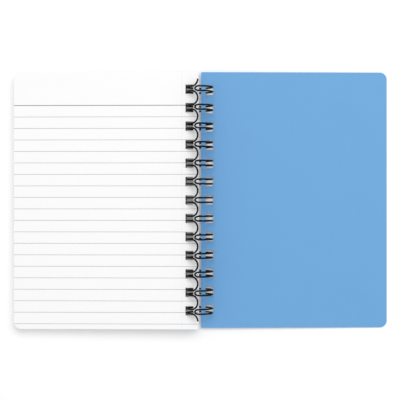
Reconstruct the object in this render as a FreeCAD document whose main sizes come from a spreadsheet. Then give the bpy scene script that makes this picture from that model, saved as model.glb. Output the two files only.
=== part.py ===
import FreeCAD, Part
import Sketcher
import math
import os
from FreeCAD import Placement, Rotation, Vector

# Open twin-loop notebook, lying on a table with its leaves turned to the left
# and its back cover laid out to the right. X points right, Y to the head of
# the page, Z up. The origin is on the table under the axis of the wire's rings.

SIZES = {
    # leaves and covers
    "leaf_height": 177.8,
    "page_width": 127.0,
    "back_overhang": 2.5,
    "front_overhang": 1.0,
    "block_thickness": 8.4,
    "cover_thickness": 0.4,
    "corner_radius": 4.8,
    # punched holes along the spine
    "hole_pitch": 12.7,
    "hole_count": 13,
    "hole_length": 6.5,
    "cover_hole_width": 5.5,
    "block_hole_width": 5.5,
    "hole_margin": 3.1,
    "fan_height": 4.6,
    "fan_reach": 0.6,
    # twin-loop wire
    "wire_diameter": 1.2,
    "ring_diameter": 19.0,
    "strand_spacing": 3.15,
    "tip_depth": 2.5,
    "root_depth": 4.25,
    "tip_angle": 94.5,
    "root_angle": 125.5,
    # how the pieces lie
    "hole_clearance": 0.2,
    "front_step": 0.4,
    "spine_gap": 1.1,
    "seat_gap": 0.3,
    "fore_edge_gap": 0.08,
    "spine_lift": 0.8,
}

# The wire is light because its bends are short straight runs with mitred joints.
WIRE_FLATS = 6
RING_RUN_TURN = 15.0
BEND_RUN_TURN = 30.0
FIRST_BEND_TURN = 40.0
RING_BOTTOM_ANGLE = 270.0
SEWING_TOLERANCE = 1e-5

# The covers are cut wider than the leaves that they cover.
PAGE_WIDTH = "Sizes.page_width"
FRONT_WIDTH = "Sizes.page_width + Sizes.front_overhang"
BACK_WIDTH = "Sizes.page_width + Sizes.back_overhang"

OUT = "parts"


def make_sheet(doc):
    """The driving dimensions, in millimetres and degrees."""
    sheet = doc.addObject("Spreadsheet::Sheet", "Sizes")
    for row, (alias, value) in enumerate(SIZES.items(), start=1):
        sheet.set("A%d" % row, alias)
        sheet.set("B%d" % row, repr(value))
        sheet.setAlias("B%d" % row, alias)
    doc.recompute()
    return sheet


def origin_feature(body, role):
    for feature in body.Origin.OriginFeatures:
        if feature.Role == role:
            return feature
    raise RuntimeError("no origin feature " + role)


def add_sketch(body, name):
    sketch = body.newObject("Sketcher::SketchObject", name)
    sketch.AttachmentSupport = [(origin_feature(body, "XY_Plane"), "")]
    sketch.MapMode = "FlatFace"
    return sketch


def name_size(sketch, name, constraint, expression):
    """Adds a dimension and ties it to the sheet."""
    index = sketch.addConstraint(constraint)
    sketch.renameConstraint(index, name)
    sketch.setExpression("Constraints." + name, expression)


def leaf_outline(body, name, width_formula, sizes):
    """A leaf: square corners at the spine (x = 0), rounded ones at the fore edge."""
    width = sizes.evalExpression(width_formula)
    top = sizes.leaf_height / 2
    radius = sizes.corner_radius
    inner = width - radius
    sketch = add_sketch(body, name)
    corners = [
        Part.LineSegment(Vector(0, top, 0), Vector(0, -top, 0)),
        Part.LineSegment(Vector(0, -top, 0), Vector(inner, -top, 0)),
        Part.ArcOfCircle(Part.Circle(Vector(inner, radius - top, 0), Vector(0, 0, 1), radius),
                         -math.pi / 2, 0),
        Part.LineSegment(Vector(width, radius - top, 0), Vector(width, top - radius, 0)),
        Part.ArcOfCircle(Part.Circle(Vector(inner, top - radius, 0), Vector(0, 0, 1), radius),
                         0, math.pi / 2),
        Part.LineSegment(Vector(inner, top, 0), Vector(0, top, 0)),
    ]
    spine, tail, tail_arc, fore, head_arc, head = sketch.addGeometry(corners, False)
    start, end = 1, 2
    for constraint in (
        Sketcher.Constraint("Coincident", spine, end, tail, start),
        Sketcher.Constraint("Tangent", tail, end, tail_arc, start),
        Sketcher.Constraint("Tangent", tail_arc, end, fore, start),
        Sketcher.Constraint("Tangent", fore, end, head_arc, start),
        Sketcher.Constraint("Tangent", head_arc, end, head, start),
        Sketcher.Constraint("Coincident", head, end, spine, start),
        Sketcher.Constraint("Horizontal", tail),
        Sketcher.Constraint("Horizontal", head),
        Sketcher.Constraint("Vertical", fore),
        Sketcher.Constraint("PointOnObject", spine, start, -2),
        Sketcher.Constraint("Symmetric", spine, start, spine, end, -1, 1),
        Sketcher.Constraint("Equal", tail_arc, head_arc),
    ):
        sketch.addConstraint(constraint)
    name_size(sketch, "height", Sketcher.Constraint("DistanceY", spine, end, spine, start, 2 * top),
              "Sizes.leaf_height")
    name_size(sketch, "width", Sketcher.Constraint("DistanceX", spine, end, fore, start, width),
              width_formula)
    name_size(sketch, "radius", Sketcher.Constraint("Radius", tail_arc, radius),
              "Sizes.corner_radius")
    return sketch


def hole_outline(body, name, hole_alias, sizes):
    """The first hole of the row, at the tail end of the spine."""
    hole_width = getattr(sizes, hole_alias)
    near = sizes.hole_margin
    far = near + hole_width
    middle = -sizes.hole_pitch * (sizes.hole_count - 1) / 2
    low = middle - sizes.hole_length / 2
    high = middle + sizes.hole_length / 2
    sketch = add_sketch(body, name)
    tail, fore, head, spine = sketch.addGeometry([
        Part.LineSegment(Vector(near, low, 0), Vector(far, low, 0)),
        Part.LineSegment(Vector(far, low, 0), Vector(far, high, 0)),
        Part.LineSegment(Vector(far, high, 0), Vector(near, high, 0)),
        Part.LineSegment(Vector(near, high, 0), Vector(near, low, 0)),
    ], False)
    start, end = 1, 2
    for constraint in (
        Sketcher.Constraint("Coincident", tail, end, fore, start),
        Sketcher.Constraint("Coincident", fore, end, head, start),
        Sketcher.Constraint("Coincident", head, end, spine, start),
        Sketcher.Constraint("Coincident", spine, end, tail, start),
        Sketcher.Constraint("Horizontal", tail),
        Sketcher.Constraint("Horizontal", head),
        Sketcher.Constraint("Vertical", fore),
        Sketcher.Constraint("Vertical", spine),
    ):
        sketch.addConstraint(constraint)
    name_size(sketch, "length", Sketcher.Constraint("DistanceY", fore, start, fore, end, high - low),
              "Sizes.hole_length")
    name_size(sketch, "width", Sketcher.Constraint("DistanceX", tail, start, tail, end, hole_width),
              "Sizes." + hole_alias)
    name_size(sketch, "margin", Sketcher.Constraint("DistanceX", -1, 1, tail, start, near),
              "Sizes.hole_margin")
    name_size(sketch, "place", Sketcher.Constraint("DistanceY", head, end, -1, 1, -high),
              "Sizes.hole_pitch * (Sizes.hole_count - 1) / 2 - Sizes.hole_length / 2")
    return sketch


def fan_out(feature):
    """Turns a pad or pocket down and aslant, along the fan of the lower leaves."""
    feature.UseCustomVector = True
    feature.Direction = Vector(0, 0, -1)
    feature.setExpression("Direction.x", "-Sizes.fan_reach")
    feature.setExpression("Direction.z", "-Sizes.fan_height")
    feature.AlongSketchNormal = True
    feature.setExpression("Length", "Sizes.fan_height")


def make_leaf(doc, name, sizes, width_formula, thickness_formula, hole_alias, fanned=False):
    """A punched sheet or stack of sheets, flat, from its spine edge along +X. Below
    z = 0, a fanned stack steps out towards the spine, as the rings' curve makes it."""
    body = doc.addObject("PartDesign::Body", name)
    body.Label = name
    outline = leaf_outline(body, name + "_outline", width_formula, sizes)
    pad = body.newObject("PartDesign::Pad", name + "_sheet")
    pad.Profile = outline
    pad.setExpression("Length", thickness_formula)
    if fanned:
        lower = body.newObject("PartDesign::Pad", name + "_fan")
        lower.Profile = outline
        fan_out(lower)
    doc.recompute()
    whole = body.Shape.Volume

    hole = hole_outline(body, name + "_hole", hole_alias, sizes)
    punch = body.newObject("PartDesign::Pocket", name + "_punch")
    punch.Profile = hole
    punch.Type = "ThroughAll"
    punch.Reversed = True
    punches = [punch]
    if fanned:
        lower_punch = body.newObject("PartDesign::Pocket", name + "_fan_punch")
        lower_punch.Profile = hole
        fan_out(lower_punch)
        punches.append(lower_punch)
    doc.recompute()

    row = body.newObject("PartDesign::LinearPattern", name + "_holes")
    row.Originals = punches
    row.Direction = (origin_feature(body, "Y_Axis"), [""])
    row.setExpression("Length", "Sizes.hole_pitch * (Sizes.hole_count - 1)")
    row.setExpression("Occurrences", "Sizes.hole_count")
    body.Tip = row
    doc.recompute()

    height = body.Shape.BoundBox.ZLength
    expected = whole - sizes.hole_count * getattr(sizes, hole_alias) * sizes.hole_length * height
    if abs(body.Shape.Volume - expected) > 1e-3 * whole:
        raise RuntimeError(name + " isn't punched as it should be")
    return body


def page_gap(sizes):
    """From the rings' axis to the top leaf. The leaves are pushed in until the outer
    edges of their holes are a clearance away from the rings' side."""
    hole_edge = sizes.hole_margin + sizes.block_hole_width
    return sizes.ring_diameter / 2 + sizes.hole_clearance - hole_edge


def seat_tilt(width, gap, sizes):
    """The slope of a cover whose fore edge is on the table and whose strip beside
    the holes lies just above the inside of the rings."""
    ring_radius = sizes.ring_diameter / 2
    inside = ring_radius - sizes.wire_diameter
    reach = gap + sizes.hole_margin
    wire_top = ring_radius - math.sqrt(inside**2 - reach**2)
    return math.asin((wire_top + sizes.seat_gap) / (width - sizes.hole_margin))


def cover_placement(side, width_formula, gap, sizes):
    """A cover that falls away from the rings to the table; side is +1 right, -1 left."""
    width = sizes.evalExpression(width_formula)
    tilt = seat_tilt(width, gap, sizes)
    slope = Rotation(Vector(0, 1, 0), math.degrees(tilt))
    facing = Rotation(Vector(0, 0, 1), 0 if side > 0 else 180)
    spine = Vector(side * gap, 0, width * math.sin(tilt))
    return Placement(spine, facing.multiply(slope))


def block_placement(front, sizes):
    """The leaves lie on the front cover at the fore edge and rise to the rings. The
    block's own z = 0 is the top of its fan."""
    rise = math.asin((sizes.spine_lift - sizes.fore_edge_gap) / sizes.page_width)
    lift = sizes.cover_thickness + sizes.spine_lift + sizes.fan_height * math.cos(rise)
    on_cover = Placement(Vector(0, 0, lift), Rotation(Vector(0, 1, 0), math.degrees(rise)))
    placement = front.multiply(on_cover)
    top_leaf = placement.multVec(Vector(0, 0, sizes.block_thickness - sizes.fan_height))
    placement.Base.x -= page_gap(sizes) + top_leaf.x
    return placement


def quarter_bend(along, across):
    """Points of a bend that leaves along the first axis and ends along the second,
    through two arcs that fill the given distances, without its first point."""
    turn = math.radians(FIRST_BEND_TURN)
    sine, cosine = math.sin(turn), math.cos(turn)
    whole = sine * cosine - (1 - sine) * (1 - cosine)
    first = (along * cosine - across * (1 - sine)) / whole
    second = (across * sine - along * (1 - cosine)) / whole
    steps = math.ceil(FIRST_BEND_TURN / BEND_RUN_TURN)
    points = [(first * math.sin(turn * k / steps), first * (1 - math.cos(turn * k / steps)))
              for k in range(1, steps + 1)]
    base_along = (first - second) * sine
    base_across = first * (1 - cosine) + second * cosine
    rest = math.pi / 2 - turn
    steps = math.ceil(math.degrees(rest) / BEND_RUN_TURN)
    for k in range(1, steps + 1):
        angle = turn + rest * k / steps
        points.append((base_along + second * math.sin(angle), base_across - second * math.cos(angle)))
    return points


def ring_angles(sizes):
    """Angles of the ring's corners, with one of them at the bottom of the ring."""
    tip = sizes.tip_angle + 360.0
    angles = [sizes.root_angle]
    for start, end in ((sizes.root_angle, RING_BOTTOM_ANGLE), (RING_BOTTOM_ANGLE, tip)):
        steps = math.ceil((end - start) / RING_RUN_TURN)
        angles += [start + (end - start) * k / steps for k in range(1, steps + 1)]
    return angles


def half_loop(sizes):
    """One side of a loop, from the middle of its root to the middle of its tip, as
    (angle round the ring, offset from the loop's middle)."""
    bend_radius = (sizes.ring_diameter - sizes.wire_diameter) / 2
    half_strand = sizes.strand_spacing / 2
    root_across = sizes.hole_pitch / 2 - half_strand
    root = [(sizes.root_angle - math.degrees(along / bend_radius), half_strand + across)
            for along, across in reversed(quarter_bend(sizes.root_depth, root_across))]
    strand = [(angle, half_strand) for angle in ring_angles(sizes)]
    tip = [(sizes.tip_angle + math.degrees(along / bend_radius), half_strand - across)
           for along, across in quarter_bend(sizes.tip_depth, half_strand)]
    return root + strand + tip


def wire_path(sizes):
    """The whole wire's middle line, from the tail's end to the head's end."""
    ring_radius = sizes.ring_diameter / 2
    bend_radius = ring_radius - sizes.wire_diameter / 2
    half = half_loop(sizes)
    loop = [(angle, -offset) for angle, offset in half] + list(reversed(half))[1:]
    count = int(round(sizes.hole_count))
    points = []
    for index in range(count):
        middle = (index - (count - 1) / 2) * sizes.hole_pitch
        for angle, offset in (loop if index == 0 else loop[1:]):
            turn = math.radians(angle)
            points.append(Vector(bend_radius * math.cos(turn), middle + offset,
                                 ring_radius + bend_radius * math.sin(turn)))
    return points


def wire_corners(points, radius):
    """The corners of the wire's flats at each point of its path, mitred there."""
    runs = [(after - before).normalize() for before, after in zip(points, points[1:])]
    side = runs[0].cross(Vector(1, 0, 0)).normalize()
    rings = []
    for index, point in enumerate(points):
        inward = runs[max(index - 1, 0)]
        outward = runs[min(index, len(runs) - 1)]
        mitre = (inward + outward).normalize()
        other = inward.cross(side)
        ring = []
        for flat in range(WIRE_FLATS):
            turn = 2 * math.pi * (flat + 0.5) / WIRE_FLATS
            spoke = side * (radius * math.cos(turn)) + other * (radius * math.sin(turn))
            ring.append(point + spoke - inward * (spoke.dot(mitre) / inward.dot(mitre)))
        rings.append(ring)
        side = Rotation(inward, outward).multVec(side)
    return rings


def make_wire(doc, name, sizes):
    """The bent wire as one closed solid of flat facets."""
    rings = wire_corners(wire_path(sizes), sizes.wire_diameter / 2)
    faces = [Part.Face(Part.makePolygon(rings[0] + rings[0][:1])),
             Part.Face(Part.makePolygon(rings[-1] + rings[-1][:1]))]
    for before, after in zip(rings, rings[1:]):
        for flat in range(WIRE_FLATS):
            after_flat = (flat + 1) % WIRE_FLATS
            corners = [before[flat], before[after_flat], after[after_flat], after[flat]]
            faces.append(Part.Face(Part.makePolygon(corners + corners[:1])))
    shell = Part.Compound(faces)
    shell.sewShape(SEWING_TOLERANCE)
    solid = Part.Solid(shell.Shells[0])
    if solid.Volume < 0:
        solid.reverse()
    wire = doc.addObject("Part::Feature", name)
    wire.Label = name
    wire.Shape = solid
    wire.Placement = Placement()
    return wire


def check(doc, pieces):
    for thing in doc.Objects:
        if "Invalid" in thing.State or "Error" in thing.State:
            raise RuntimeError(thing.Name + " didn't build")
    for piece in pieces:
        if piece.Shape.isNull() or not piece.Shape.isValid() or len(piece.Shape.Solids) != 1:
            raise RuntimeError(piece.Label + " isn't one valid solid")


def main():
    doc = FreeCAD.newDocument("Notebook")
    sizes = make_sheet(doc)
    page_block = make_leaf(doc, "page_block", sizes, PAGE_WIDTH,
                           "Sizes.block_thickness - Sizes.fan_height", "block_hole_width", fanned=True)
    front_cover = make_leaf(doc, "front_cover", sizes, FRONT_WIDTH, "Sizes.cover_thickness",
                            "cover_hole_width")
    back_cover = make_leaf(doc, "back_cover", sizes, BACK_WIDTH, "Sizes.cover_thickness",
                           "cover_hole_width")
    front_gap = page_gap(sizes) - sizes.front_step
    front_cover.Placement = cover_placement(-1, FRONT_WIDTH, front_gap, sizes)
    back_cover.Placement = cover_placement(1, BACK_WIDTH, sizes.spine_gap, sizes)
    page_block.Placement = block_placement(front_cover.Placement, sizes)
    wire = make_wire(doc, "twin_loop_wire", sizes)
    doc.recompute()

    pieces = [page_block, front_cover, back_cover, wire]
    check(doc, pieces)
    os.makedirs(OUT, exist_ok=True)
    for piece in pieces:
        piece.Shape.exportStep(os.path.join(OUT, piece.Label + ".step"))
        print(piece.Label, round(piece.Shape.Volume, 2), piece.Shape.BoundBox)


main()
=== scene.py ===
import math
import random

import bmesh
import bpy
from bpy.props import FloatProperty, FloatVectorProperty, IntProperty, PointerProperty
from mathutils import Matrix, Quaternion, Vector


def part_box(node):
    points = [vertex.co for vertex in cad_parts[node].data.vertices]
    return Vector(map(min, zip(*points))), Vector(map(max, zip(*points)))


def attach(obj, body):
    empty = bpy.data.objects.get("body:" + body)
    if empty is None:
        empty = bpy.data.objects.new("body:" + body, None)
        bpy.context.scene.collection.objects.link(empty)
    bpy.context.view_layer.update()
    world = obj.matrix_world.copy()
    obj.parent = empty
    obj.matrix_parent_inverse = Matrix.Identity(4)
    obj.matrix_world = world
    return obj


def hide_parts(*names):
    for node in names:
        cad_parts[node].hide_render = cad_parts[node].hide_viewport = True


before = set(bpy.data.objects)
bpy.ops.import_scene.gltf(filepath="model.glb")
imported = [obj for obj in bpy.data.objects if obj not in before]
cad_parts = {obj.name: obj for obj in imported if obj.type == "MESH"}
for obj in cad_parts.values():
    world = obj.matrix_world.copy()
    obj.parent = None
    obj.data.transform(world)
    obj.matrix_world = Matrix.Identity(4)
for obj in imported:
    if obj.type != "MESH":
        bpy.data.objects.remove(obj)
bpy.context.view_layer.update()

bl_info = {
    "name": "Open Twin-Loop Notebook",
    "version": (1, 0, 0),
    "blender": (4, 5, 0),
    "location": "View3D > Sidebar > Notebook",
    "description": "Dresses an open wire-bound notebook: leaves, covers, wire and stage",
    "category": "Object",
}

WIRE_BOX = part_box("twin_loop_wire")
PAGE_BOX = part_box("page_block")
TOP_LEAF_DEPTH = 0.0002
TOP_LEAF_EDGE = max(v.co.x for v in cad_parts["page_block"].data.vertices
                    if v.co.z > PAGE_BOX[1].z - TOP_LEAF_DEPTH)

# A sheet slips less along the spine than across it.
END_SCATTER_SHARE = 0.3


# Settings that a user would change

def length(name, description, default):
    """A size in metres."""
    return FloatProperty(name=name, description=description, default=default, min=0.0,
                         precision=5, unit="LENGTH")


def colour(name, description, default):
    """A colour in linear light."""
    return FloatVectorProperty(name=name, description=description, default=default, size=3,
                               min=0.0, max=1.0, subtype="COLOR")


class NotebookLeaves(bpy.types.PropertyGroup):
    """The block of ruled leaves."""
    sheet_count: IntProperty(name="Sheets", description="Sheets in the block", default=80, min=2)
    leaf_height: length("Leaf height", "From tail to head", PAGE_BOX[1].y - PAGE_BOX[0].y)
    corner_radius: length("Corner radius", "Rounded corners at the fore edge", 0.0048)
    hole_pitch: length("Hole pitch", "From one hole to the next", 0.0127)
    hole_count: IntProperty(name="Holes", description="Holes along the spine", default=13, min=1)
    hole_length: length("Hole length", "Size of a hole along the spine", 0.0065)
    hole_width: length("Hole width", "Size of a hole across the spine", 0.0055)
    hole_margin: length("Hole margin", "Paper between a hole and the spine edge", 0.0031)
    fan_height: length("Fan height", "Height of the lower leaves that step out", 0.0046)
    fan_reach: length("Fan reach", "How far the lowest leaf steps out towards the spine", 0.0006)
    edge_scatter: length("Edge scatter", "How far a sheet's edge may stand back", 0.00016)
    rule_pitch: length("Rule pitch", "From one ruled line to the next", 0.00792)
    rule_count: IntProperty(name="Rules", description="Ruled lines on a page", default=20, min=1)
    header_drop: length("Header drop", "From the head to the first line", 0.0237)
    rule_width: length("Rule width", "Width of a ruled line", 0.00028)
    header_width: length("Header width", "Width of the first line", 0.00046)
    score_inset: length("Score inset", "From the spine edge to the tear-off line", 0.0110)
    paper: colour("Paper", "Colour of the leaves", (0.96, 0.96, 0.963))
    rule_ink: colour("Rule ink", "Colour of the ruled lines", (0.24, 0.25, 0.26))
    header_ink: colour("Header ink", "Colour of the first line", (0.07, 0.072, 0.075))


class NotebookCovers(bpy.types.PropertyGroup):
    """The two card covers."""
    edge_rounding: length("Edge rounding", "Rounding of the pressed and cut edges", 0.00006)
    card: colour("Card", "Colour of the covers", (0.150, 0.382, 0.694))
    card_shade: colour("Card shade", "Colour of the card's darker fibres", (0.130, 0.344, 0.642))
    core: colour("Core", "Colour of the card where it is cut", (0.34, 0.53, 0.78))


class NotebookWire(bpy.types.PropertyGroup):
    """The bent wire that binds the leaves."""
    wire_diameter: length("Wire diameter", "Thickness of the coated wire", 0.0012)
    strand_spacing: length("Strand spacing", "Between the two strands of a loop", 0.00315)
    tip_depth: length("Tip depth", "Length of a loop's closed end", 0.0025)
    root_depth: length("Root depth", "Length of the bend between two loops", 0.00425)
    tip_angle: FloatProperty(name="Tip angle", description="Where a strand ends at the tip",
                             default=math.radians(94.5), subtype="ANGLE")
    root_angle: FloatProperty(name="Root angle", description="Where a strand starts at the root",
                              default=math.radians(125.5), subtype="ANGLE")
    coat: colour("Coat", "Colour of the wire's coating", (0.0035, 0.0035, 0.004))


class NotebookStage(bpy.types.PropertyGroup):
    """Floor, light and camera."""
    camera_height: length("Camera height", "Lens above the table", 0.729)
    camera_side: length("Camera offset", "Lens to the right of the rings' axis", 0.0003)
    focal_pixels: FloatProperty(name="Focal length", description="In pixels of a 400-pixel frame",
                                default=1044.0)
    key_level: FloatProperty(name="Key level", description="Share of light from the head side",
                             default=0.49)
    sky_level: FloatProperty(name="Sky level", description="Share of light from all round",
                             default=0.62)
    floor_colour: colour("Floor", "Colour of the table", (0.975, 0.975, 0.975))


# Shared helpers

def settings(context, group):
    """One of the scene's groups of settings."""
    return getattr(context.scene, "notebook_" + group)


def new_material(name):
    """An empty node material with its Principled shader and a place to add nodes."""
    material = bpy.data.materials.new(name)
    material.use_nodes = True
    shader = material.node_tree.nodes["Principled BSDF"]
    return material, shader, material.node_tree


def add_node(tree, kind, **inputs):
    """A shader node with these values on its inputs."""
    node = tree.nodes.new(kind)
    for name, value in inputs.items():
        node.inputs[name.replace("_", " ")].default_value = value
    return node


def noise(tree, coordinates, scale, detail=3.0, roughness=0.5):
    """Noise with that many cells to the metre."""
    node = add_node(tree, "ShaderNodeTexNoise", Scale=scale, Detail=detail, Roughness=roughness)
    tree.links.new(coordinates, node.inputs["Vector"])
    return node.outputs["Fac"]


def spread(tree, value, low, high):
    """The middle of a noise, spread between two values."""
    node = add_node(tree, "ShaderNodeMapRange", From_Min=0.3, From_Max=0.7, To_Min=low, To_Max=high)
    tree.links.new(value, node.inputs["Value"])
    return node.outputs["Result"]


def blend_colours(tree, factor, first, second):
    """A mix of two colours, each a value or another node's output."""
    node = tree.nodes.new("ShaderNodeMix")
    node.data_type = "RGBA"
    tree.links.new(factor, node.inputs["Factor"])
    for socket, value in (("A", first), ("B", second)):
        target = [i for i in node.inputs if i.name == socket and i.type == "RGBA"][0]
        if isinstance(value, bpy.types.NodeSocket):
            tree.links.new(value, target)
        else:
            target.default_value = (*value, 1.0)
    return [o for o in node.outputs if o.type == "RGBA"][0]


def calculate(tree, operation, *values):
    """A sum on values or other nodes' outputs."""
    node = tree.nodes.new("ShaderNodeMath")
    node.operation = operation
    for socket, value in zip(node.inputs, values):
        if isinstance(value, bpy.types.NodeSocket):
            tree.links.new(value, socket)
        else:
            socket.default_value = value
    return node.outputs[0]


def add_bump(tree, shader, height, strength, distance):
    """Raises the surface by a height between 0 and 1, times a distance in metres."""
    bump = add_node(tree, "ShaderNodeBump", Strength=strength, Distance=distance)
    tree.links.new(height, bump.inputs["Height"])
    tree.links.new(bump.outputs["Normal"], shader.inputs["Normal"])


def set_finish(shader, roughness, specular):
    """The gloss of a whole surface."""
    shader.inputs["Roughness"].default_value = roughness
    shader.inputs["Specular IOR Level"].default_value = specular


def tinted(ink, level):
    """A colour made darker or lighter."""
    return tuple(min(1.0, part * level) for part in ink)


def seen_ray(tree):
    """1 for what is seen, also reflected or through glass, and 0 for light on the object."""
    path = tree.nodes.new("ShaderNodeLightPath")
    seen = calculate(tree, "MAXIMUM", path.outputs["Is Camera Ray"], path.outputs["Is Glossy Ray"])
    return calculate(tree, "MAXIMUM", seen, path.outputs["Is Transmission Ray"])


def place_of(tree):
    """The point of the surface in the object's own space, in metres."""
    return tree.nodes.new("ShaderNodeTexCoord").outputs["Object"]


def on_flat_side(tree):
    """1 on a sheet's upper and lower sides and 0 round its cut edge."""
    edge_limit = 0.5
    split = tree.nodes.new("ShaderNodeSeparateXYZ")
    tree.links.new(tree.nodes.new("ShaderNodeTexCoord").outputs["Normal"], split.inputs["Vector"])
    flatness = calculate(tree, "ABSOLUTE", split.outputs["Z"])
    return calculate(tree, "GREATER_THAN", flatness, edge_limit)


def add_object(name, mesh, materials):
    """A piece of this mesh with its materials, in the scene."""
    piece = bpy.data.objects.new(name, mesh)
    bpy.context.scene.collection.objects.link(piece)
    for material in materials:
        mesh.materials.append(material)
    return piece


# Leaves

def tear_off_cuts(tree, place, group):
    """1 on the short cuts of the tear-off line and 0 elsewhere, used for their dent and for their
    painted shade.
    """
    cut_width = 0.00011
    cut_pitch = 0.0016
    cut_share = 0.62
    line = TOP_LEAF_EDGE - group.score_inset
    split = tree.nodes.new("ShaderNodeSeparateXYZ")
    tree.links.new(place, split.inputs["Vector"])
    off_line = calculate(tree, "ABSOLUTE", calculate(tree, "SUBTRACT", split.outputs["X"], line))
    on_line = calculate(tree, "LESS_THAN", off_line, cut_width / 2)
    steps = calculate(tree, "DIVIDE", split.outputs["Y"], cut_pitch)
    in_cut = calculate(tree, "LESS_THAN", calculate(tree, "FRACT", steps), cut_share)
    on_page = calculate(tree, "MULTIPLY", on_line, on_flat_side(tree))
    return calculate(tree, "MULTIPLY", on_page, in_cut)


def writing_paper(group):
    """Uncoated paper: faint fibres, a soft tooth and the dashes of the tear-off line, darkened with
    painted shade in their cuts.
    """
    material, shader, tree = new_material("writing_paper")
    place = place_of(tree)
    fibres = noise(tree, place, 2600.0, detail=5.0, roughness=0.65)
    clouds = noise(tree, place, 90.0, detail=2.0)
    blotch = tinted(group.paper, 0.99)
    fibre_shade = tinted(group.paper, 0.972)
    # Painted shade: the cuts of the tear-off line are darkened to stand for the shade inside them.
    painted_slit_shade = tinted(group.paper, 0.55)
    base = blend_colours(tree, spread(tree, clouds, 0.0, 1.0), group.paper, blotch)
    base = blend_colours(tree, spread(tree, fibres, 0.0, 0.8), base, fibre_shade)
    cuts = tear_off_cuts(tree, place, group)
    base = blend_colours(tree, cuts, base, painted_slit_shade)
    tree.links.new(base, shader.inputs["Base Color"])
    set_finish(shader, roughness=0.88, specular=0.25)
    tooth = calculate(tree, "SUBTRACT", fibres, cuts)
    add_bump(tree, shader, tooth, strength=0.35, distance=0.00003)
    return material


def printed_rule(name, ink, paper):
    """Offset ink on paper: it lets fibres through and is a little uneven along the line."""
    material, shader, tree = new_material(name)
    place = place_of(tree)
    fibres = noise(tree, place, 3400.0, detail=4.0, roughness=0.7)
    paper_showing = 0.22
    thin_ink = tuple(i + (p - i) * paper_showing for i, p in zip(ink, paper))
    base = blend_colours(tree, spread(tree, fibres, 0.0, 1.0), ink, thin_ink)
    tree.links.new(base, shader.inputs["Base Color"])
    set_finish(shader, roughness=0.8, specular=0.25)
    add_bump(tree, shader, fibres, strength=0.3, distance=0.00003)
    return material


class LeafBlock:
    """Where the block lies: its lowest leaf, from the spine edge out to the fore edge."""

    def __init__(self, group):
        points = [v.co.copy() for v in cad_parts["page_block"].data.vertices]
        spine = max(points, key=lambda p: p.x)
        fore = min(points, key=lambda p: p.z)
        self.start = Vector((spine.x, 0.0, spine.z))
        reach = Vector((fore.x, 0.0, fore.z)) - self.start
        self.width = reach.length
        self.out = reach.normalized()
        self.up = Vector((-self.out.z, 0.0, self.out.x))
        if self.up.z < 0:
            self.up = -self.up
        self.thickness = max((p - self.start).dot(self.up) for p in points)
        self.fan_height = group.fan_height
        self.fan_reach = group.fan_reach

    def point(self, across, along, height):
        """A point of a leaf at this height: the lower leaves step out to the spine."""
        step = self.fan_reach * min(height / self.fan_height, 1.0)
        return (self.start + self.out * (across + step) + Vector((0.0, along, 0.0))
                + self.up * height)


def fore_reach(group, width, along):
    """How far a leaf reaches from the spine at this place along it."""
    depth = abs(along) - (group.leaf_height / 2 - group.corner_radius)
    if depth <= 0.0:
        return width
    return width - group.corner_radius + math.sqrt(max(group.corner_radius**2 - depth**2, 0.0))


def hole_spans(group):
    """Low and high edge of each hole along the leaf, from the tail."""
    for index in range(group.hole_count):
        middle = (index - (group.hole_count - 1) / 2) * group.hole_pitch
        yield middle - group.hole_length / 2, middle + group.hole_length / 2


def rule_spans(group):
    """Low edge, high edge and material index of each ruled line, from the head."""
    first = group.leaf_height / 2 - group.header_drop
    for index in range(group.rule_count):
        width = group.rule_width if index else group.header_width
        middle = first - index * group.rule_pitch
        yield middle - width / 2, middle + width / 2, 1 if index else 2


def leaf_rows(group, ruled):
    """Places along the leaf where its mesh is cut, from tail to head."""
    half = group.leaf_height / 2
    corner_steps = 7
    least_step = 1e-6
    rows = []
    for step in range(corner_steps + 1):
        turn = math.pi / 2 * step / corner_steps
        rows.append(half - group.corner_radius * (1 - math.sin(turn)))
    rows += [-row for row in rows]
    for low, high in hole_spans(group):
        rows += [low, high]
    if ruled:
        for low, high, _ in rule_spans(group):
            rows += [low, high]
    rows.sort()
    return [row for index, row in enumerate(rows)
            if index == 0 or row - rows[index - 1] > least_step]


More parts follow.
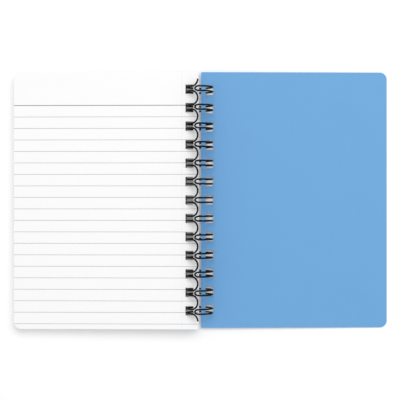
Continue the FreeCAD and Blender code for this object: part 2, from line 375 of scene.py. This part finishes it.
def add_sheet(work, group, block, low, high, scatter, lift, columns, ruled_face):
    """One closed sheet, trimmed so that it can slip inside the block. lift(across, along)
    raises it; ruled_face is 1 for the upper face, -1 for the lower one and 0 for none."""
    rows = leaf_rows(group, ruled_face != 0)
    holes = list(hole_spans(group))
    rules = list(rule_spans(group)) if ruled_face else []
    back, side = scatter
    near = group.hole_margin
    far = near + group.hole_width
    spine_cuts = (back, near, far)
    hole_column = 1
    first_free = 2
    trim = 1.0 - 2 * END_SCATTER_SHARE * group.edge_scatter / group.leaf_height

    def across(row, column):
        if column <= first_free:
            return spine_cuts[column]
        reach = fore_reach(group, block.width - back, row)
        return far + (reach - far) * (column - first_free) / columns

    layers = []
    for height in (low, high):
        layer = []
        for row in rows:
            line = []
            for column in range(first_free + columns + 1):
                u = across(row, column)
                place = block.point(u, row * trim + side, height + lift(u, row))
                line.append(work.verts.new(place))
            layer.append(line)
        layers.append(layer)

    def filled(row, column):
        if not (0 <= row < len(rows) - 1 and 0 <= column < first_free + columns):
            return False
        middle = (rows[row] + rows[row + 1]) / 2
        return column != hole_column or not any(a < middle < b for a, b in holes)

    def ink(row):
        middle = (rows[row] + rows[row + 1]) / 2
        for a, b, index in rules:
            if a < middle < b:
                return index
        return 0

    lower, upper = layers
    for row in range(len(rows) - 1):
        for column in range(first_free + columns):
            if not filled(row, column):
                continue
            corners = ((row, column), (row, column + 1), (row + 1, column + 1), (row + 1, column))
            for layer, face_side in ((lower, -1), (upper, 1)):
                face = work.faces.new([layer[r][c] for r, c in corners])
                if face_side == ruled_face:
                    face.material_index = ink(row)
            for (r, c), first, second in (
                ((row - 1, column), corners[0], corners[1]),
                ((row, column + 1), corners[1], corners[2]),
                ((row + 1, column), corners[2], corners[3]),
                ((row, column - 1), corners[3], corners[0]),
            ):
                if not filled(r, c):
                    work.faces.new([lower[first[0]][first[1]], lower[second[0]][second[1]],
                                    upper[second[0]][second[1]], upper[first[0]][first[1]]])


def build_leaves(group):
    """The whole block: closed sheets one above the other, none cut quite alike."""
    block = LeafBlock(group)
    chance = random.Random(11)
    pitch = block.thickness / group.sheet_count
    paper_share = 0.94
    loose_sheets = 7
    loose_columns = 14
    most_lift = 0.00022
    held_share = 0.15
    wave_share = 0.4
    wave_start = 0.6
    half_waves = 2.3
    work = bmesh.new()
    for index in range(group.sheet_count):
        slip = chance.uniform(-END_SCATTER_SHARE, END_SCATTER_SHARE)
        scatter = (chance.random() * group.edge_scatter, slip * group.edge_scatter)
        last = index == group.sheet_count - 1
        looseness = max(0, index - (group.sheet_count - 1 - loose_sheets)) / loose_sheets

        def lift(across, along, looseness=looseness):
            free = max(0.0, across / block.width - held_share) ** 2
            turn = half_waves * along / group.leaf_height * math.pi + wave_start
            wave = 1 - wave_share + wave_share * math.sin(turn)
            return most_lift * looseness * free * wave

        columns = loose_columns if looseness > 0 else 1
        ruled_face = 1 if last else (-1 if index == 0 else 0)
        add_sheet(work, group, block, index * pitch, (index + paper_share) * pitch, scatter, lift,
                  columns, ruled_face)
    bmesh.ops.recalc_face_normals(work, faces=work.faces[:])
    mesh = bpy.data.meshes.new("leaf_stack")
    work.to_mesh(mesh)
    work.free()
    return mesh


# Wire

def bend_points(along, across, first_turn, step):
    """Points of a bend that leaves along one axis and ends along the other, through two
    arcs that fill the given distances, without its first point."""
    sine, cosine = math.sin(first_turn), math.cos(first_turn)
    whole = sine * cosine - (1 - sine) * (1 - cosine)
    first = (along * cosine - across * (1 - sine)) / whole
    second = (across * sine - along * (1 - cosine)) / whole
    points = []
    count = math.ceil(first_turn / step)
    for index in range(1, count + 1):
        turn = first_turn * index / count
        points.append((first * math.sin(turn), first * (1 - math.cos(turn))))
    rest = math.pi / 2 - first_turn
    count = math.ceil(rest / step)
    for index in range(1, count + 1):
        turn = first_turn + rest * index / count
        points.append(((first - second) * sine + second * math.sin(turn),
                       first * (1 - cosine) + second * cosine - second * math.cos(turn)))
    return points


def wire_route(group, leaves):
    """The wire's middle line from the tail's end to the head's end."""
    ring_step = math.radians(5.0)
    bend_step = math.radians(9.0)
    first_turn = math.radians(40.0)
    ring_radius = (WIRE_BOX[1].x - WIRE_BOX[0].x) / 2
    bend_radius = ring_radius - group.wire_diameter / 2
    middle_x = (WIRE_BOX[1].x + WIRE_BOX[0].x) / 2
    half_strand = group.strand_spacing / 2
    root_across = leaves.hole_pitch / 2 - half_strand
    root = [(group.root_angle - along / bend_radius, half_strand + across)
            for along, across in reversed(bend_points(group.root_depth, root_across, first_turn,
                                                      bend_step))]
    tip_end = group.tip_angle + 2 * math.pi
    count = math.ceil((tip_end - group.root_angle) / ring_step)
    strand = [(group.root_angle + (tip_end - group.root_angle) * k / count, half_strand)
              for k in range(count + 1)]
    tip = [(group.tip_angle + along / bend_radius, half_strand - across)
           for along, across in bend_points(group.tip_depth, half_strand, first_turn, bend_step)]
    half = root + strand + tip
    loop = [(angle, -offset) for angle, offset in half] + half[::-1][1:]
    route = []
    for index in range(leaves.hole_count):
        middle = (index - (leaves.hole_count - 1) / 2) * leaves.hole_pitch
        for angle, offset in (loop if index == 0 else loop[1:]):
            route.append(Vector((middle_x + bend_radius * math.cos(angle), middle + offset,
                                 ring_radius + bend_radius * math.sin(angle))))
    return route


def build_wire(group, leaves):
    """A round tube along the route, with its cut ends' edges broken."""
    sides = 14
    radius = group.wire_diameter / 2
    route = wire_route(group, leaves)
    runs = [(b - a).normalized() for a, b in zip(route, route[1:])]
    spoke = runs[0].cross(Vector((1.0, 0.0, 0.0))).normalized()
    chamfer_share = 0.25
    chamfer = radius * chamfer_share
    sections = [(route[0] - runs[0] * chamfer, runs[0], radius - chamfer, None)]
    for index, point in enumerate(route):
        before = runs[max(index - 1, 0)]
        after = runs[min(index, len(runs) - 1)]
        sections.append((point, (before + after).normalized(), radius, (before, after)))
    sections.append((route[-1] + runs[-1] * chamfer, runs[-1], radius - chamfer, None))

    work = bmesh.new()
    rings = []
    for centre, heading, reach, turning in sections:
        spoke = (spoke - heading * spoke.dot(heading)).normalized()
        ring = []
        for side in range(sides):
            turn = Quaternion(heading, 2 * math.pi * side / sides)
            ring.append(work.verts.new(centre + (turn @ spoke) * reach))
        rings.append(ring)
    for before, after in zip(rings, rings[1:]):
        for side in range(sides):
            other = (side + 1) % sides
            work.faces.new([before[side], before[other], after[other], after[side]])
    work.faces.new(rings[0])
    work.faces.new(rings[-1])
    bmesh.ops.recalc_face_normals(work, faces=work.faces[:])
    for face in work.faces:
        face.smooth = len(face.verts) == 4
    mesh = bpy.data.meshes.new("loop_wire")
    work.to_mesh(mesh)
    work.free()
    return mesh


def coated_wire(group):
    """Black nylon over steel: a soft gloss with a slightly uneven coat."""
    material, shader, tree = new_material("coated_wire")
    place = place_of(tree)
    uneven = noise(tree, place, 900.0, detail=3.0)
    grain = noise(tree, place, 5200.0, detail=2.0)
    thin_coat = tinted(group.coat, 1.9)
    base = blend_colours(tree, spread(tree, uneven, 0.0, 1.0), group.coat, thin_coat)
    tree.links.new(base, shader.inputs["Base Color"])
    tree.links.new(spread(tree, uneven, 0.34, 0.48), shader.inputs["Roughness"])
    shader.inputs["Specular IOR Level"].default_value = 0.08
    add_bump(tree, shader, grain, strength=0.2, distance=0.00002)
    return material


# Covers

def cover_card(group):
    """Dyed card with a fine calendered grain, and its open fibres where it is cut."""
    material, shader, tree = new_material("cover_card")
    place = place_of(tree)
    fibres = noise(tree, place, 1500.0, detail=5.0, roughness=0.62)
    clouds = noise(tree, place, 40.0, detail=2.0)
    grain = noise(tree, place, 2800.0, detail=3.0)
    base = blend_colours(tree, spread(tree, fibres, 0.0, 0.55), group.card, group.card_shade)
    paler = tinted(group.card, 1.02)
    base = blend_colours(tree, spread(tree, clouds, 0.0, 0.25), base, paler)
    cut = blend_colours(tree, spread(tree, fibres, 0.0, 1.0), group.core, group.card)
    base = blend_colours(tree, on_flat_side(tree), cut, base)
    tree.links.new(base, shader.inputs["Base Color"])
    tree.links.new(spread(tree, fibres, 0.50, 0.62), shader.inputs["Roughness"])
    shader.inputs["Specular IOR Level"].default_value = 0.3
    add_bump(tree, shader, grain, strength=0.35, distance=0.00004)
    return material


def soften_edges(piece, rounding):
    """Joins a cover's faces into one shell and rounds its cut edges a little."""
    join_share = 0.05
    join = piece.modifiers.new("joined_faces", "WELD")
    join.merge_threshold = rounding * join_share
    soften = piece.modifiers.new("soft_edges", "BEVEL")
    soften.width = rounding
    soften.segments = 2
    soften.limit_method = "ANGLE"
    soften.angle_limit = math.radians(60.0)


# Stage

def table_top(group):
    """A white table that keeps the shadow on it and fades into the backdrop far off."""
    material, shader, tree = new_material("table_top")
    shader.inputs["Base Color"].default_value = (*group.floor_colour, 1.0)
    set_finish(shader, roughness=1.0, specular=0.0)
    near_glow = 0.13
    fade_start = 0.4
    fade_end = 1.2
    glow = add_node(tree, "ShaderNodeEmission", Strength=1.25)
    reach = tree.nodes.new("ShaderNodeVectorMath")
    reach.operation = "LENGTH"
    tree.links.new(place_of(tree), reach.inputs[0])
    fade = add_node(tree, "ShaderNodeMapRange", From_Min=fade_start, From_Max=fade_end,
                    To_Min=near_glow, To_Max=1.0)
    tree.links.new(reach.outputs["Value"], fade.inputs["Value"])
    share = calculate(tree, "MULTIPLY", seen_ray(tree), fade.outputs["Result"])
    mix = tree.nodes.new("ShaderNodeMixShader")
    output = tree.nodes["Material Output"]
    tree.links.new(share, mix.inputs["Fac"])
    tree.links.new(shader.outputs["BSDF"], mix.inputs[1])
    tree.links.new(glow.outputs["Emission"], mix.inputs[2])
    tree.links.new(mix.outputs["Shader"], output.inputs["Surface"])
    return material


def light_world(level):
    """Even light from all round, and white where it is seen."""
    world = bpy.data.worlds.new("studio_world")
    world.use_nodes = True
    tree = world.node_tree
    sky = tree.nodes["Background"]
    sky.inputs["Color"].default_value = (1.0, 1.0, 1.0, 1.0)
    sky.inputs["Strength"].default_value = level
    backdrop = add_node(tree, "ShaderNodeBackground", Color=(1.0, 1.0, 1.0, 1.0), Strength=1.0)
    mix = tree.nodes.new("ShaderNodeMixShader")
    tree.links.new(seen_ray(tree), mix.inputs["Fac"])
    tree.links.new(sky.outputs["Background"], mix.inputs[1])
    tree.links.new(backdrop.outputs["Background"], mix.inputs[2])
    tree.links.new(mix.outputs["Shader"], tree.nodes["World Output"].inputs["Surface"])
    bpy.context.scene.world = world


def add_key_lamp(level):
    """A large soft lamp beyond the head of the page."""
    lamp = bpy.data.lights.new("key_lamp", "AREA")
    lamp.shape = "RECTANGLE"
    lamp.size = 2.1
    lamp.size_y = 1.2
    distance = 2.2
    elevation = math.radians(62.0)
    bearing = math.radians(66.0)
    lamp.energy = level * math.pi**2 * distance**2 / math.sin(elevation)
    holder = bpy.data.objects.new("key_lamp", lamp)
    away = Vector((math.cos(bearing) * math.cos(elevation), math.sin(bearing) * math.cos(elevation),
                   math.sin(elevation)))
    holder.location = away * distance
    holder.rotation_euler = away.to_track_quat("Z", "Y").to_euler()
    bpy.context.scene.collection.objects.link(holder)


def add_camera(group):
    """Straight above the open notebook, with the head of the page at the top."""
    camera = bpy.data.cameras.new("camera")
    frame_pixels = 400.0
    camera.sensor_width = 36.0
    camera.lens = camera.sensor_width * group.focal_pixels / frame_pixels
    camera.clip_start = 0.01
    holder = bpy.data.objects.new("camera", camera)
    holder.location = (group.camera_side, 0.0, group.camera_height)
    bpy.context.scene.collection.objects.link(holder)
    bpy.context.scene.camera = holder


# Operators

class NOTEBOOK_OT_leaves(bpy.types.Operator):
    """Build the block of ruled leaves"""
    bl_idname = "notebook.leaves"
    bl_label = "Build Leaves"

    def execute(self, context):
        group = settings(context, "leaves")
        paper = writing_paper(group)
        rule = printed_rule("rule_ink", group.rule_ink, group.paper)
        header = printed_rule("header_ink", group.header_ink, group.paper)
        piece = add_object("leaf_stack", build_leaves(group), [paper, rule, header])
        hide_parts("page_block")
        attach(piece, "pages")
        return {"FINISHED"}


class NOTEBOOK_OT_covers(bpy.types.Operator):
    """Finish the front and back covers in blue card"""
    bl_idname = "notebook.covers"
    bl_label = "Finish Covers"

    def execute(self, context):
        group = settings(context, "covers")
        card = cover_card(group)
        for node in ("front_cover", "back_cover"):
            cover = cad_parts[node]
            soften_edges(cover, group.edge_rounding)
            for material_slot in cover.material_slots:
                material_slot.material = card
        return {"FINISHED"}


class NOTEBOOK_OT_wire(bpy.types.Operator):
    """Bend the round twin-loop wire"""
    bl_idname = "notebook.wire"
    bl_label = "Bend Wire"

    def execute(self, context):
        group = settings(context, "wire")
        mesh = build_wire(group, settings(context, "leaves"))
        piece = add_object("loop_wire", mesh, [coated_wire(group)])
        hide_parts("twin_loop_wire")
        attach(piece, "binding")
        return {"FINISHED"}


class NOTEBOOK_OT_stage(bpy.types.Operator):
    """Add the table, the light and the camera"""
    bl_idname = "notebook.stage"
    bl_label = "Set Stage"

    def execute(self, context):
        group = settings(context, "stage")
        half_width = 3.0
        mesh = bpy.data.meshes.new("table")
        corners = [(x * half_width, y * half_width, 0.0)
                   for x, y in ((-1, -1), (1, -1), (1, 1), (-1, 1))]
        mesh.from_pydata(corners, [], [(0, 1, 2, 3)])
        add_object("table", mesh, [table_top(group)])
        light_world(group.sky_level)
        add_key_lamp(group.key_level)
        add_camera(group)
        context.scene.view_settings.view_transform = "Standard"
        return {"FINISHED"}


class NOTEBOOK_PT_panel(bpy.types.Panel):
    """The notebook's settings and operators"""
    bl_idname = "NOTEBOOK_PT_panel"
    bl_label = "Notebook"
    bl_space_type = "VIEW_3D"
    bl_region_type = "UI"
    bl_category = "Notebook"

    def draw(self, context):
        for group, operator in (("leaves", "notebook.leaves"), ("covers", "notebook.covers"),
                                ("wire", "notebook.wire"), ("stage", "notebook.stage")):
            values = settings(context, group)
            box = self.layout.box()
            for name in values.bl_rna.properties.keys():
                if name not in ("rna_type", "name"):
                    box.prop(values, name)
            box.operator(operator)


GROUPS = {
    "leaves": NotebookLeaves,
    "covers": NotebookCovers,
    "wire": NotebookWire,
    "stage": NotebookStage,
}
CLASSES = (*GROUPS.values(), NOTEBOOK_OT_leaves, NOTEBOOK_OT_covers, NOTEBOOK_OT_wire,
           NOTEBOOK_OT_stage, NOTEBOOK_PT_panel)


def register():
    for cls in CLASSES:
        bpy.utils.register_class(cls)
    for name, cls in GROUPS.items():
        setattr(bpy.types.Scene, "notebook_" + name, PointerProperty(type=cls))


def unregister():
    for name in GROUPS:
        delattr(bpy.types.Scene, "notebook_" + name)
    for cls in reversed(CLASSES):
        bpy.utils.unregister_class(cls)


def main():
    register()
    bpy.ops.notebook.leaves()
    bpy.ops.notebook.covers()
    bpy.ops.notebook.wire()
    bpy.ops.notebook.stage()


if __name__ == "__main__":
    main()
